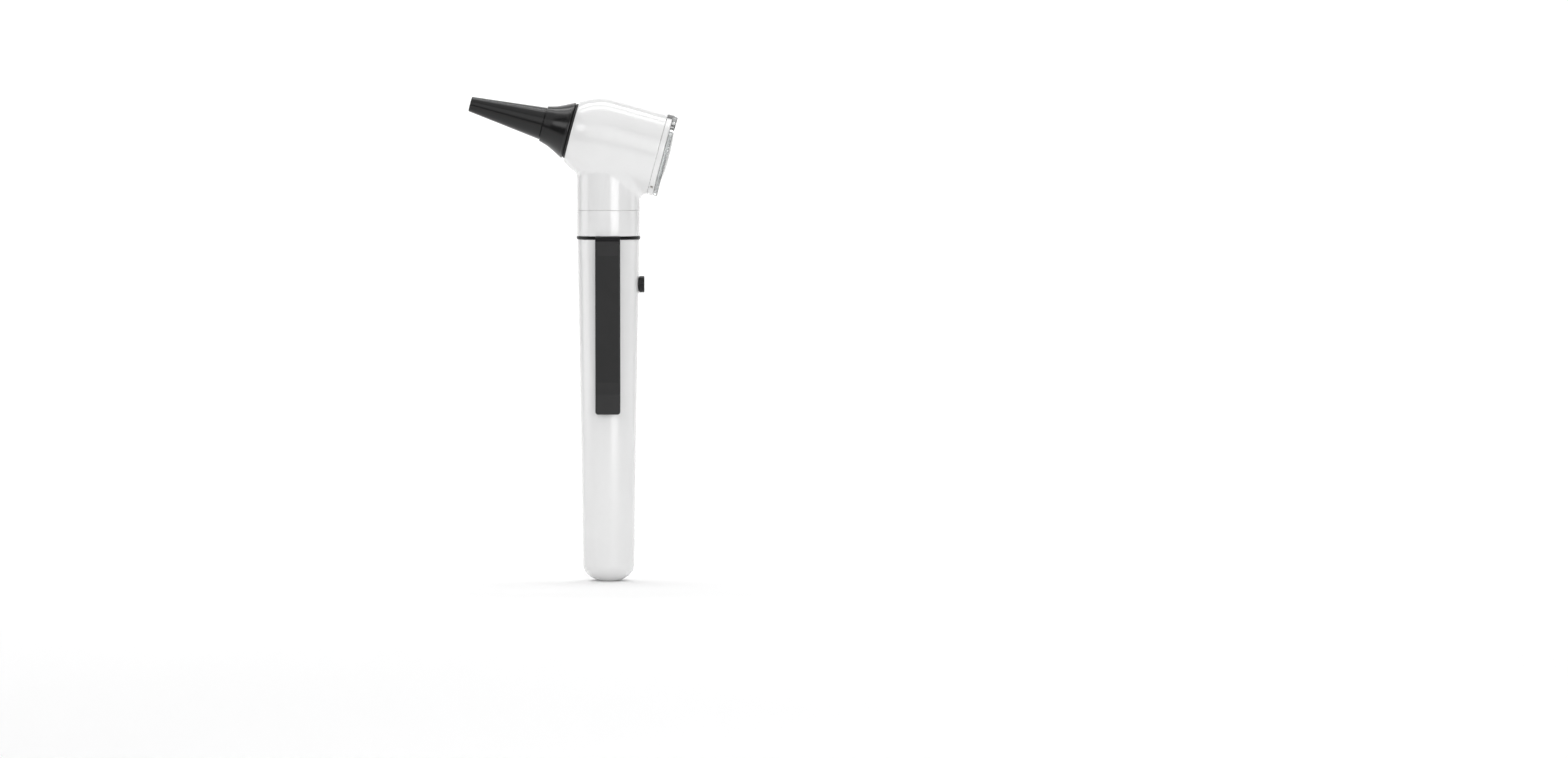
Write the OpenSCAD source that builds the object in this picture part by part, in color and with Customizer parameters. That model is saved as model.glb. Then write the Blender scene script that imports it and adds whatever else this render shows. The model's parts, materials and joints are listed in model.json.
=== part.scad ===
// Pocket otoscope: battery handle, lighted head, swivelling magnifier and ear speculum.
// Millimetres. The origin is the centre of the handle's flat end face, +Z runs up the
// handle, the speculum points to -X, the magnifier faces +X and the pocket clip -Y.

/* [Handle] */
// Height of the handle, from its flat end face to its mouth
handle_h = 119.7; // [119.2:0.1:122]
// Outside radius of the handle at its mouth
handle_top_r = 10.9; // [10.8:0.05:11.1]
// Outside radius of the handle just above its rounded end
handle_low_r = 8.95; // [8.9:0.05:10]
// Radius of the flat at the very end
end_flat_r = 3.5; // [2:0.1:5]
// Height of the rounded end
end_dome_h = 5.8; // [5:0.1:8]

/* [Batteries] */
// Radius of one AA cell
cell_r = 7.15; // [6.8:0.05:7.25]
// Length of one AA cell, contact button included
cell_len = 50.5; // [49.5:0.1:50.5]

/* [Switch] */
// Radius of the round switch knob
knob_r = 2.9; // [2.5:0.1:3.2]
// Height of the knob's centre when the light is off
knob_z = 103.9; // [103.5:0.1:104.1]
// Travel of the switch, upwards to on
switch_travel = 4; // [3:0.5:4]
// Distance from the handle's axis to the knob's outer face
knob_reach = 12.6; // [12:0.1:13.5]

/* [Pocket clip] */
// Width of the clip's leaf
clip_w = 8.7; // [6:0.1:10]
// Height of the lower end of the leaf above the end face
clip_tip_z = 58.8; // [50:0.1:70]
// Thickness of the clip's sheet steel
clip_t = 0.7; // [0.5:0.05:0.8]
// Outside radius of the clip's ring
clip_ring_r = 11.15; // [11:0.05:11.5]

/* [Head] */
// Outside radius of the neck
neck_r = 11.05; // [10.8:0.05:11.1]
// Height of the seam between the neck collar and the head shell
seam_z = 129.9; // [129.5:0.1:131]
// Height at which the head's axis crosses the handle's axis
head_z = 154; // [153.5:0.1:155]
// Angle by which the speculum end of the head is raised
head_tilt = 15; // [14:0.5:16]
// Largest outside radius of the head
barrel_r = 14.8; // [14.6:0.05:15]
// Outside radius of the head at its rear edge
barrel_rear_r = 14.55; // [14.35:0.05:14.6]
// Wall of the head shell
head_wall = 1.5; // [1.3:0.1:1.8]

/* [Speculum] */
// Distance from the handle's axis to the speculum's tip, along the head's axis
tip_reach = 50; // [48:0.5:56]
// Outside radius of the tip
tip_r = 2.65; // [2.6:0.05:3.2]
// Radius of the hole in the tip
tip_bore_r = 2; // [1.8:0.05:2.1]
// Outside radius of the rim
rim_r = 9.95; // [9.8:0.05:10.2]

/* [Magnifier] */
// Radius of the clear plate that carries the magnifier
plate_r = 14.3; // [14.2:0.05:14.4]
// Thickness of the clear plate
plate_t = 1.5; // [1.4:0.1:1.6]
// Radius of the magnifier
magnifier_r = 9; // [8.5:0.1:9.3]
// How far the magnifier bulges out of the plate
magnifier_bulge = 0.7; // [0.5:0.1:1.2]
// Distance of the plate's pivot above the head's axis
pivot_up = 12.3; // [12.2:0.05:12.4]

/* [Hidden] */
$fn = 96;

// Gap left around a piece that is pushed or glued in
fit = 0.05;
// Overrun of a cut past the face that it opens
over = 1;

// Handle
cell_bore_r = cell_r + 0.45;
handle_floor_z = 4;
sheet_t = 0.3;
plate_top_z = handle_floor_z + 0.4;
spring_top_z = plate_top_z + 4.2;
cell_button_r = 2.7;
cell_button_h = 1;
cells_top_z = spring_top_z + 2 * cell_len;
thread_z = handle_h - 8.7;
thread_bore_r = 8.6;
thread_ring_r = 9.6;
// The two conductor strips lie in a groove on the +X side of the battery bore
strip_x = 7.75;
strip_w = 3;
groove_x = strip_x + sheet_t + fit;

// Switch: the slider runs in a pocket behind the wall, and its stem passes through a slot
pocket_x = 9.45;
pocket_half_w = 3.2;
slider_x = 8.38;
slider_half_w = 3;
slider_low = 5.7;
slider_high = 2.3;
stem_half_w = 1.1;
stem_half_h = 1.4;
stem_reach = 11.4;
contact_x = groove_x + fit / 2;
contact_low_z = knob_z - 9.4;
contact_len = 9;
lower_strip_top_z = knob_z - 4.4;
upper_strip_low_z = knob_z + 2.6;
strip_foot_z = thread_z - 0.6;

// Clip: a ring held under the neck, with a tab that bends down into the leaf
clip_ring_z = handle_h + fit;
clip_ring_t = 1;
clip_stand_r = 12.4;
leaf_top_z = handle_h - 1.4;
leaf_bend_z = clip_tip_z + 6.8;
leaf_tip_r = handle_r(clip_tip_z) + 2.6;
leaf_corner_r = 1;
// Room between the leaf's bend and the handle, enough for the leaf to rise along the taper
leaf_gap = 0.2;

// Neck and lamp
neck_z = clip_ring_z + clip_ring_t + fit;
sleeve_r = 8.55;
sleeve_bore_r = 7.65;
sleeve_low_z = handle_h - 6.2;
sleeve_top_z = neck_z + 6.1;
sleeve_head_r = 9.15;
register_r = neck_r - head_wall - fit;
register_h = 3.1;
insulator_z = sleeve_low_z - 0.5;
insulator_top_z = neck_z - 0.3;
insulator_bore_r = 3;
lip_t = 1;
contact_r = 1.6;
contact_low = cells_top_z + fit;
contact_flange_top_z = insulator_z + lip_t + 0.7;
lamp_r = 3.2;
lamp_z = insulator_top_z + 1;
lamp_flange_z = lamp_z + 6.7;
lamp_glass_z = lamp_flange_z + 0.85;
lamp_glass_r = 2.9;

// Places along the head's axis, measured rearwards from the handle's axis
front_a = -13.2;
crest_a = -1.5;
rear_a = 17.85;
bezel_a = rear_a + fit;
bezel_t = 1.9;
bezel_bore_r = 9.6;
// Height of the flat that carries the hinge block, above the head's axis
hinge_flat = 13.2;
// The shell's rear register stands inside the bezel
register_in_r = 10.4;
register_out_r = 11.2;
register_len = 0.95;
flange_a = rear_a - 1.95;
// The front of the shell is an arc that meets the crest of the barrel
nose_arc_r = 20;
nose_steps = 12;

// Speculum mount
mount_flange_a = front_a - fit;
mount_flange_t = 0.7;
mount_flange_r = 9.75;
mount_spigot_r = 8.4;
mount_back_a = -10.3;
mount_tip_a = -27;
mount_bore_r = 7;
seal_a = -12.45;
seal_groove_r = 7.7;
seal_wire_r = 0.34;
ring_groove_a = -11.6;
ring_groove_w = 0.8;
ring_groove_r = 7.95;
lug_a = -15.4;
lug_r = 8.5;

// Light guide: up from the lamp, round one bend, then forwards under the viewing tube
guide_r = 1.3;
guide_bend_r = 12;
guide_down = 5.6;
guide_front_a = -12.95;
guide_low_z = lamp_glass_z + 6;
guide_bend_z = head_z - (guide_down + guide_bend_r * (1 - sin(head_tilt))) / cos(head_tilt);
guide_bend_a = -guide_bend_r * cos(head_tilt) - (guide_bend_z - head_z) * sin(head_tilt);
viewing_bore_r = 3.7;
viewing_wall = 0.5;
viewing_wide_a = -2;
viewing_rear_r = 8;

// Insufflation port, on the side away from the clip
port_a = 4;
port_r = 1.75;
port_boss_r = 3.1;
port_boss_y = 15.2;
port_flange_t = 0.8;
port_len = 5;

// Magnifier and its pivot
plate_a = bezel_a + bezel_t + 0.1;
boss_r = 2.2;
boss_a = bezel_a + 0.7;
boss_pocket_r = 2.35;
boss_pocket_a = bezel_a + 0.45;
pivot_r = 1;
pivot_hole_r = 1.05;
pivot_head_r = 1.7;
pivot_head_t = 0.7;
screw_r = 0.65;
screw_angle = 38;
screw_low_r = 10.6;

// Speculum
rim_a = mount_flange_a - mount_flange_t - fit;

white = "#f0f0ee";
black = "#262626";
dark_grey = "#3c3c3e";
nickel = "#b9bbbd";
brass = "#c9a24b";
clear = "#dfeaf0";

// Outside radius of the handle at height z, above its rounded end
function handle_r(z) = handle_low_r
    + (handle_top_r - handle_low_r) * (z - end_dome_h) / (handle_h - end_dome_h);

// Points of the barrel's outline from its front face to its rear edge, lying inset
// inside the outer surface; the first point is the front face's edge
function barrel_outline(inset, from_a, to_a) = concat(
    [for (i = [0:nose_steps])
        let (a = from_a + (crest_a - from_a) * i / nose_steps)
        [barrel_r - nose_arc_r + sqrt(pow(nose_arc_r - inset, 2) - pow(a - crest_a, 2)), a]],
    [[barrel_rear_r - inset, to_a]]);

// Places its children in the head's frame: X up and square to the head's axis,
// Y towards the clip's side, Z rearwards along the head's axis
module head_frame() {
    translate([0, 0, head_z]) rotate([0, 90 + head_tilt, 0]) rotate([0, 0, 180]) children();
}

// A block given by its lowest corner and its highest corner
module block(low, high) {
    translate(low) cube(high - low);
}

// A ring between two heights
module ring(r_in, r_out, z_from, z_to) {
    translate([0, 0, z_from]) difference() {
        cylinder(r = r_out, h = z_to - z_from);
        translate([0, 0, -over]) cylinder(r = r_in, h = z_to - z_from + 2 * over);
    }
}

// A closed tube through rings of points, each ring with the same number of sides
module swept_tube(points, sides) {
    steps = len(points) / sides - 1;
    walls = [for (i = [0:steps - 1], k = [0:sides - 1])
        let (next = (k + 1) % sides)
        [i * sides + k, i * sides + next, (i + 1) * sides + next, (i + 1) * sides + k]];
    start_cap = [[for (k = [0:sides - 1]) sides - 1 - k]];
    end_cap = [[for (k = [0:sides - 1]) steps * sides + k]];
    polyhedron(points, concat(walls, start_cap, end_cap));
}

// A compression spring of round wire standing on Z = 0
module coil_spring(low_r, high_r, height, turns, wire_r) {
    steps = 22 * turns;
    sides = 8;
    rise = height - 2 * wire_r;
    swept_tube([for (i = [0:steps], k = [0:sides - 1])
        let (t = i / steps, turn = 360 * turns * t, around = 360 * k / sides)
        let (r = low_r + (high_r - low_r) * t + wire_r * cos(around))
        [r * cos(turn), r * sin(turn), wire_r + rise * t + wire_r * sin(around)]], sides);
}

module handle_tube() {
    flat_angle = acos(end_flat_r / handle_low_r);
    dome_depth = end_dome_h / sin(flat_angle);
    dome_steps = 10;
    dome = [for (i = [0:dome_steps])
        let (angle = flat_angle * (1 - i / dome_steps))
        [handle_low_r * cos(angle), end_dome_h - dome_depth * sin(angle)]];
    slot_low = knob_z - stem_half_h - 0.1;
    slot_high = knob_z + switch_travel + stem_half_h + 0.1;
    color(white) difference() {
        rotate_extrude() polygon(concat([[0, 0]], dome, [[handle_top_r, handle_h], [0, handle_h]]));
        translate([0, 0, handle_floor_z]) cylinder(r = cell_bore_r, h = handle_h);
        translate([0, 0, thread_z]) cylinder(r = thread_ring_r + fit, h = handle_h);
        block([0, -strip_w / 2 - 0.2, handle_floor_z], [groove_x, strip_w / 2 + 0.2, thread_z + over]);
        block([0, -pocket_half_w, contact_low_z - 0.5], [pocket_x, pocket_half_w, thread_z + over]);
        block([pocket_x - over, -stem_half_w - 0.1, slot_low],
            [handle_top_r + over, stem_half_w + 0.1, slot_high]);
    }
}

module thread_ring() {
    color(nickel) ring(thread_bore_r, thread_ring_r, thread_z, handle_h - fit);
}

module spring_plate() {
    color(nickel) union() {
        translate([0, 0, handle_floor_z]) cylinder(r = cell_r, h = plate_top_z - handle_floor_z);
        block([0, -strip_w / 2, handle_floor_z], [strip_x + sheet_t, strip_w / 2, plate_top_z]);
    }
}

module battery_spring() {
    color(nickel) translate([0, 0, plate_top_z]) coil_spring(6, 3, spring_top_z - plate_top_z, 3, 0.45);
}

module conductor_strip() {
    color(brass) block([strip_x, -strip_w / 2, plate_top_z],
        [strip_x + sheet_t, strip_w / 2, lower_strip_top_z]);
}

module upper_contact_strip() {
    color(brass) union() {
        block([strip_x, -strip_w / 2, upper_strip_low_z], [strip_x + sheet_t, strip_w / 2, thread_z]);
        block([strip_x, -strip_w / 2, strip_foot_z], [thread_ring_r - 0.2, strip_w / 2, thread_z]);
    }
}

module cell(z) {
    translate([0, 0, z]) rotate_extrude() polygon([
        [0, 0], [cell_r - 0.4, 0], [cell_r, 0.4],
        [cell_r, cell_len - cell_button_h - 0.4], [cell_r - 0.4, cell_len - cell_button_h],
        [cell_button_r, cell_len - cell_button_h], [cell_button_r, cell_len], [0, cell_len]]);
}

module battery_lower() {
    color(dark_grey) cell(spring_top_z);
}

module battery_upper() {
    color(dark_grey) cell(spring_top_z + cell_len);
}

module switch_knob() {
    round_over = 0.5;
    ridge_step = 1.3;
    ridge_depth = 0.25;
    color(black) difference() {
        translate([0, 0, knob_z]) rotate([0, 90, 0]) rotate_extrude() polygon([
            [0, 9.8], [knob_r, 9.8], [knob_r, knob_reach - round_over],
            [knob_r - 0.15, knob_reach - 0.15], [knob_r - round_over, knob_reach], [0, knob_reach]]);
        cylinder(r = handle_r(knob_z + switch_travel + knob_r) + fit, h = handle_h + over);
        block([0, -stem_half_w - fit, knob_z - stem_half_h - fit],
            [stem_reach + fit, stem_half_w + fit, knob_z + stem_half_h + fit]);
        for (step = [-1:1]) translate([knob_reach, -knob_r, knob_z + step * ridge_step])
            rotate([-90, 0, 0]) cylinder(r = ridge_depth, h = 2 * knob_r);
    }
}

module switch_slider() {
    color(black) union() {
        block([slider_x, -slider_half_w, knob_z - slider_low],
            [pocket_x - 0.1, slider_half_w, knob_z + slider_high]);
        block([slider_x, -stem_half_w, knob_z - stem_half_h],
            [stem_reach, stem_half_w, knob_z + stem_half_h]);
    }
}

module switch_contact() {
    color(brass) block([contact_x, -strip_w / 2 + 0.1, contact_low_z],
        [slider_x, strip_w / 2 - 0.1, contact_low_z + contact_len]);
}

module clip_ring() {
    ring_top = clip_ring_z + clip_ring_t;
    bend = 0.8;
    color(black) difference() {
        union() {
            translate([0, 0, clip_ring_z]) cylinder(r = clip_ring_r, h = clip_ring_t);
            rotate([90, 0, 90]) linear_extrude(clip_w, center = true) polygon([
                [-thread_bore_r - 1, ring_top], [bend - clip_stand_r, ring_top],
                [bend * 0.3 - clip_stand_r, ring_top - bend * 0.3], [-clip_stand_r, ring_top - bend],
                [-clip_stand_r, leaf_top_z + fit], [clip_t - clip_stand_r, leaf_top_z + fit],
                [clip_t - clip_stand_r, clip_ring_z], [-thread_bore_r - 1, clip_ring_z]]);
        }
        translate([0, 0, clip_ring_z - over]) cylinder(r = thread_bore_r, h = clip_ring_t + 2 * over);
    }
}

module clip_leaf() {
    bend_y = -handle_r(leaf_bend_z) - clip_t - leaf_gap;
    tip_y = -leaf_tip_r;
    corner = clip_w / 2 - leaf_corner_r;
    color(dark_grey) intersection() {
        rotate([90, 0, 90]) linear_extrude(clip_w, center = true) polygon([
            [-clip_stand_r, leaf_top_z], [bend_y, leaf_bend_z + 0.8], [bend_y, leaf_bend_z - 0.8],
            [tip_y, clip_tip_z], [tip_y + clip_t, clip_tip_z], [bend_y + clip_t, leaf_bend_z - 0.8],
            [bend_y + clip_t, leaf_bend_z + 0.8], [clip_t - clip_stand_r, leaf_top_z]]);
        rotate([90, 0, 0]) linear_extrude(2 * clip_stand_r) union() {
            translate([-clip_w / 2, clip_tip_z + leaf_corner_r]) square([clip_w, handle_h]);
            translate([-corner, clip_tip_z]) square([2 * corner, handle_h]);
            for (side = [-1, 1]) translate([side * corner, clip_tip_z + leaf_corner_r])
                circle(r = leaf_corner_r);
        }
    }
}

module neck_collar() {
    edge = 0.3;
    color(white) rotate_extrude() polygon([
        [sleeve_head_r + fit, neck_z], [neck_r - edge, neck_z], [neck_r, neck_z + edge],
        [neck_r, seam_z - edge], [neck_r - edge, seam_z - fit],
        [register_r, seam_z - fit], [register_r, seam_z + register_h],
        [sleeve_bore_r, seam_z + register_h], [sleeve_bore_r, sleeve_top_z + fit],
        [sleeve_head_r + fit, sleeve_top_z + fit]]);
}

module threaded_sleeve() {
    chamfer = 0.4;
    color(nickel) rotate_extrude() polygon([
        [sleeve_bore_r, sleeve_low_z], [sleeve_r - chamfer, sleeve_low_z],
        [sleeve_r, sleeve_low_z + chamfer], [sleeve_r, neck_z], [sleeve_head_r, neck_z],
        [sleeve_head_r, sleeve_top_z], [sleeve_bore_r, sleeve_top_z]]);
}

module contact_insulator() {
    color(black) difference() {
        translate([0, 0, insulator_z])
            cylinder(r = sleeve_bore_r - 0.1, h = insulator_top_z - insulator_z);
        translate([0, 0, insulator_z - over]) cylinder(r = contact_r + 0.1, h = handle_h);
        translate([0, 0, insulator_z + lip_t]) cylinder(r = insulator_bore_r, h = handle_h);
    }
}

module centre_contact() {
    flange_low = insulator_z + lip_t + fit;
    color(brass) rotate_extrude() polygon([
        [0, contact_low], [contact_r - 0.5, contact_low], [contact_r, contact_low + 0.5],
        [contact_r, flange_low], [insulator_bore_r - 0.2, flange_low],
        [insulator_bore_r - 0.2, contact_flange_top_z], [1.3, contact_flange_top_z],
        [1.3, contact_flange_top_z + 2.3], [0, contact_flange_top_z + 2.3]]);
}

module contact_spring() {
    color(nickel) translate([0, 0, contact_flange_top_z])
        coil_spring(2.1, 2.1, lamp_z - 0.65 - contact_flange_top_z, 5, 0.25);
}

module lamp_holder() {
    color(nickel) rotate_extrude() polygon([
        [lamp_r + 0.1, insulator_top_z + fit], [sleeve_bore_r - 0.1, insulator_top_z + fit],
        [sleeve_bore_r - 0.1, insulator_top_z + 0.8], [5, insulator_top_z + 0.8],
        [5, lamp_flange_z - fit], [lamp_r + 0.1, lamp_flange_z - fit]]);
}

module lamp_base() {
    color(brass) rotate_extrude() polygon([
        [0, lamp_z - 0.6], [1.4, lamp_z - 0.6], [1.4, lamp_z], [lamp_r, lamp_z],
        [lamp_r, lamp_flange_z], [4.2, lamp_flange_z], [4.2, lamp_glass_z], [0, lamp_glass_z]]);
}

module lamp_glass() {
    dome_z = lamp_glass_z + 2.2;
    color(clear) union() {
        translate([0, 0, lamp_glass_z]) cylinder(r = lamp_glass_r, h = dome_z - lamp_glass_z);
        intersection() {
            translate([0, 0, dome_z]) sphere(r = lamp_glass_r);
            translate([0, 0, dome_z]) cylinder(r = lamp_glass_r, h = lamp_glass_r);
        }
    }
}

module light_guide() {
    sides = 16;
    bend_steps = 10;
    bend_angle = 90 - head_tilt;
    straight = guide_bend_a - guide_front_a;
    // Each stop is a place in the XZ plane and the angle by which the guide leans forwards
    bend = [for (i = [0:bend_steps])
        let (lean = bend_angle * i / bend_steps)
        [guide_bend_r * (cos(lean) - 1), guide_bend_z + guide_bend_r * sin(lean), lean]];
    bend_end = bend[bend_steps];
    stops = concat([[0, guide_low_z, 0]], bend, [[bend_end[0] - straight * sin(bend_angle),
        bend_end[1] + straight * cos(bend_angle), bend_angle]]);
    color(clear) swept_tube([for (stop = stops, k = [0:sides - 1])
        let (around = 360 * k / sides)
        [stop[0] + guide_r * cos(around) * cos(stop[2]), -guide_r * sin(around),
            stop[1] + guide_r * cos(around) * sin(stop[2])]], sides);
}

module fibre_ring() {
    back_a = guide_front_a - fit;
    color(clear) head_frame() rotate_extrude() polygon([
        [3.25, mount_tip_a], [3.8, mount_tip_a], [4.5, -16], [6.9, back_a - 0.6],
        [6.9, back_a], [3.75, back_a]]);
}

module head_shell() {
    flange_point = [barrel_rear_r - head_wall, flange_a];
    edge = 0.5;
    color(white) difference() {
        union() {
            head_frame() rotate_extrude() polygon(concat(
                [[0, front_a], [barrel_outline(0, front_a, rear_a)[0][0] - edge, front_a]],
                barrel_outline(0, front_a + edge, rear_a), [[0, rear_a]]));
            head_frame() ring(register_in_r, register_out_r, rear_a - over, rear_a + register_len);
            head_frame() translate([0, -head_wall, port_a]) rotate([90, 0, 0])
                cylinder(r = port_boss_r, h = port_boss_y - head_wall);
            translate([0, 0, seam_z]) cylinder(r = neck_r, h = head_z - seam_z - head_wall);
        }
        head_frame() rotate_extrude() polygon(concat(
            [[0, front_a + head_wall]], barrel_outline(head_wall, front_a + head_wall, flange_a),
            [flange_point, [register_in_r, flange_a + 0.3], [register_in_r, rear_a + over],
            [0, rear_a + over]]));
        head_frame() translate([0, 0, front_a - over]) cylinder(r = mount_spigot_r + fit, h = 4);
        translate([0, 0, seam_z - over]) cylinder(r = neck_r - head_wall, h = head_z - seam_z);
        head_frame() translate([0, 0, port_a]) rotate([90, 0, 0])
            cylinder(r = port_r - 0.2, h = port_boss_y + over);
        head_frame() rear_cuts();
    }
}

// The hinge pocket, the pivot's hole and the two screw holes, shared by shell and bezel
module rear_cuts() {
    translate([pivot_up, 0, boss_pocket_a]) cylinder(r = boss_pocket_r, h = 2 * bezel_t);
    block([pivot_up, -boss_pocket_r, boss_pocket_a], [barrel_r + over, boss_pocket_r, plate_a]);
    translate([pivot_up, 0, flange_a - over]) cylinder(r = pivot_r + 0.02, h = 2 * bezel_t + 2);
    bezel_screw_pair(screw_r + 0.03, screw_low_r - 0.1, barrel_r + over);
}

// Two radial pins on the bezel's lower half, one to each side
module bezel_screw_pair(r, r_from, r_to) {
    for (side = [-1, 1])
        rotate([0, 0, 180 + side * screw_angle]) translate([r_from, 0, bezel_a + bezel_t / 2])
            rotate([0, 90, 0]) cylinder(r = r, h = r_to - r_from);
}

module viewing_tube() {
    out_r = viewing_bore_r + viewing_wall;
    rear_out_r = viewing_rear_r + viewing_wall;
    flange_r = register_in_r - 0.1;
    flange_front_a = rear_a - 0.8;
    color(black) head_frame() rotate_extrude() polygon([
        [viewing_bore_r, guide_front_a], [out_r, guide_front_a], [out_r, viewing_wide_a],
        [rear_out_r, flange_front_a], [flange_r, flange_front_a], [flange_r, rear_a],
        [viewing_rear_r, rear_a], [viewing_bore_r, viewing_wide_a]]);
}

module speculum_mount() {
    flange_front_a = mount_flange_a - mount_flange_t;
    color(black) head_frame() union() {
        difference() {
            rotate_extrude() polygon([
                [3.85, mount_tip_a], [4.2, mount_tip_a], [4.6, -24], [5.2, -22.4], [6.2, -19.2],
                [7, -17], [7.6, -16.3], [7.6, flange_front_a],
                [mount_flange_r, flange_front_a], [mount_flange_r, mount_flange_a],
                [mount_spigot_r, mount_flange_a], [mount_spigot_r, mount_back_a],
                [mount_bore_r, mount_back_a], [mount_bore_r, -13.55], [4.55, -16]]);
            ring(seal_groove_r, mount_flange_r + over, seal_a - 0.4, seal_a + 0.4);
            ring(ring_groove_r - 0.1, mount_flange_r + over,
                ring_groove_a, ring_groove_a + ring_groove_w);
        }
        for (side = [0, 180]) rotate([0, 0, 90 + side]) translate([6, 0, lug_a])
            rotate([0, 90, 0]) cylinder(r = 0.8, h = lug_r - 6);
    }
}

module mount_seal() {
    color(black) head_frame() translate([0, 0, seal_a]) rotate_extrude()
        translate([seal_groove_r + seal_wire_r + 0.02, 0]) circle(r = seal_wire_r, $fn = 24);
}

module mount_retaining_ring() {
    gap_half_w = 1.5;
    color(nickel) head_frame() difference() {
        ring(ring_groove_r, 9.4, ring_groove_a + fit, ring_groove_a + ring_groove_w - fit);
        block([0, -gap_half_w, ring_groove_a - over], [barrel_r, gap_half_w, mount_back_a]);
    }
}

module insufflation_port() {
    flange_y = port_boss_y + port_flange_t;
    bore_r = 0.9;
    stem_low = barrel_r - head_wall - 0.5;
    tip = 0.3;
    color(nickel) head_frame() translate([0, 0, port_a]) rotate([90, 0, 0]) rotate_extrude()
        polygon([
            [bore_r, stem_low], [port_r - 0.25, stem_low], [port_r - 0.25, port_boss_y],
            [port_boss_r - 0.3, port_boss_y], [port_boss_r - 0.3, flange_y], [port_r, flange_y],
            [port_r, flange_y + port_len], [port_r - tip, flange_y + port_len + tip],
            [bore_r, flange_y + port_len + tip]]);
}

// The whole ring between shell and plate, before it is split into bezel and hinge block
module bezel_ring() {
    edge = 0.25;
    difference() {
        rotate_extrude() polygon([
            [register_out_r + fit, bezel_a], [barrel_rear_r, bezel_a],
            [barrel_rear_r, bezel_a + bezel_t - edge], [barrel_rear_r - edge, bezel_a + bezel_t],
            [bezel_bore_r + edge, bezel_a + bezel_t], [bezel_bore_r, bezel_a + bezel_t - edge],
            [bezel_bore_r, rear_a + register_len + fit],
            [register_out_r + fit, rear_a + register_len + fit]]);
        rear_cuts();
    }
}

// Everything at the rear that lies above a given height
module above(height) {
    block([height, -barrel_r, bezel_a - over], [barrel_r + over, barrel_r, plate_a]);
}

module rear_bezel() {
    color(white) head_frame() difference() {
        bezel_ring();
        above(hinge_flat - fit);
    }
}

// The dark block whose two cheeks stand beside the boss of the hinged plate
module hinge_block() {
    color(black) head_frame() intersection() {
        bezel_ring();
        above(hinge_flat);
    }
}

module bezel_screws() {
    color(nickel) head_frame() bezel_screw_pair(screw_r, screw_low_r, barrel_rear_r - 0.1);
}

module lens_pivot() {
    head_a = plate_a + plate_t - pivot_head_t;
    slot_half_w = 0.2;
    color(nickel) head_frame() translate([pivot_up, 0, 0]) difference() {
        union() {
            translate([0, 0, flange_a]) cylinder(r = pivot_r, h = head_a + 0.1 - flange_a);
            translate([0, 0, head_a]) cylinder(r = pivot_head_r, h = pivot_head_t);
        }
        block([-pivot_head_r - over, -slot_half_w, head_a + 0.35],
            [pivot_head_r + over, slot_half_w, head_a + 2]);
    }
}

module pivot_washer() {
    color(nickel) head_frame() translate([pivot_up, 0, 0])
        ring(pivot_hole_r, boss_r - 0.1, boss_pocket_a + 0.03, boss_a - 0.02);
}

module lens_plate() {
    head_a = plate_a + plate_t - pivot_head_t;
    color(clear) head_frame() difference() {
        union() {
            translate([0, 0, plate_a]) cylinder(r = plate_r, h = plate_t);
            translate([pivot_up, 0, boss_a]) cylinder(r = boss_r, h = plate_a + 0.1 - boss_a);
        }
        translate([0, 0, plate_a - over]) cylinder(r = magnifier_r + fit, h = plate_t + 2 * over);
        translate([pivot_up, 0, boss_a - over]) cylinder(r = pivot_hole_r, h = 6);
        translate([pivot_up, 0, head_a - fit]) cylinder(r = pivot_head_r + fit, h = plate_t);
    }
}

module magnifier_lens() {
    back_a = plate_a + plate_t;
    ball_r = (pow(magnifier_r, 2) + pow(magnifier_bulge, 2)) / (2 * magnifier_bulge);
    cap_steps = 8;
    cap = [for (i = [0:cap_steps])
        let (r = magnifier_r * (1 - i / cap_steps))
        [r, back_a + magnifier_bulge - ball_r + sqrt(pow(ball_r, 2) - pow(r, 2))]];
    color(clear) head_frame() rotate_extrude()
        polygon(concat([[0, plate_a], [magnifier_r, plate_a]], cap));
}

module speculum() {
    // Outline of the funnel, tip first: radius, and distance along the head's axis
    outside = [[tip_r - 0.3, -tip_reach], [tip_r, 0.4 - tip_reach], [4.85, -30], [5.7, -23.65],
        [6.35, -23.1], [7.15, -20.4], [7.75, -19], [8.6, -17.3], [9.45, -15.8],
        [rim_r, -14.7], [rim_r, rim_a]];
    inside = [[9.1, rim_a], [8.75, -15.6], [7.75, -17.4], [6.95, -19.4], [6.3, -21],
        [5.55, -22.4], [4.95, -23.6], [4.2, -30], [tip_bore_r, -tip_reach]];
    color(black) head_frame() rotate_extrude() polygon(concat(outside, inside));
}

handle_tube();
thread_ring();
spring_plate();
battery_spring();
conductor_strip();
upper_contact_strip();
battery_lower();
battery_upper();
switch_knob();
switch_slider();
switch_contact();
clip_ring();
clip_leaf();
neck_collar();
threaded_sleeve();
contact_insulator();
centre_contact();
contact_spring();
lamp_holder();
lamp_base();
lamp_glass();
light_guide();
fibre_ring();
head_shell();
viewing_tube();
speculum_mount();
mount_seal();
mount_retaining_ring();
insufflation_port();
rear_bezel();
hinge_block();
bezel_screws();
lens_pivot();
pivot_washer();
lens_plate();
magnifier_lens();
speculum();
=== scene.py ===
"""The looks of a pocket otoscope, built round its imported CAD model.

Meshes are made in millimetres, in the row's frame, and scaled to metres when they are placed.
The head's own frame has X up and square to the head's axis, Y towards the clip and Z rearwards.
"""

import json
import math

import bmesh
import bpy
import numpy as np
from mathutils import Matrix, Vector


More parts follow.
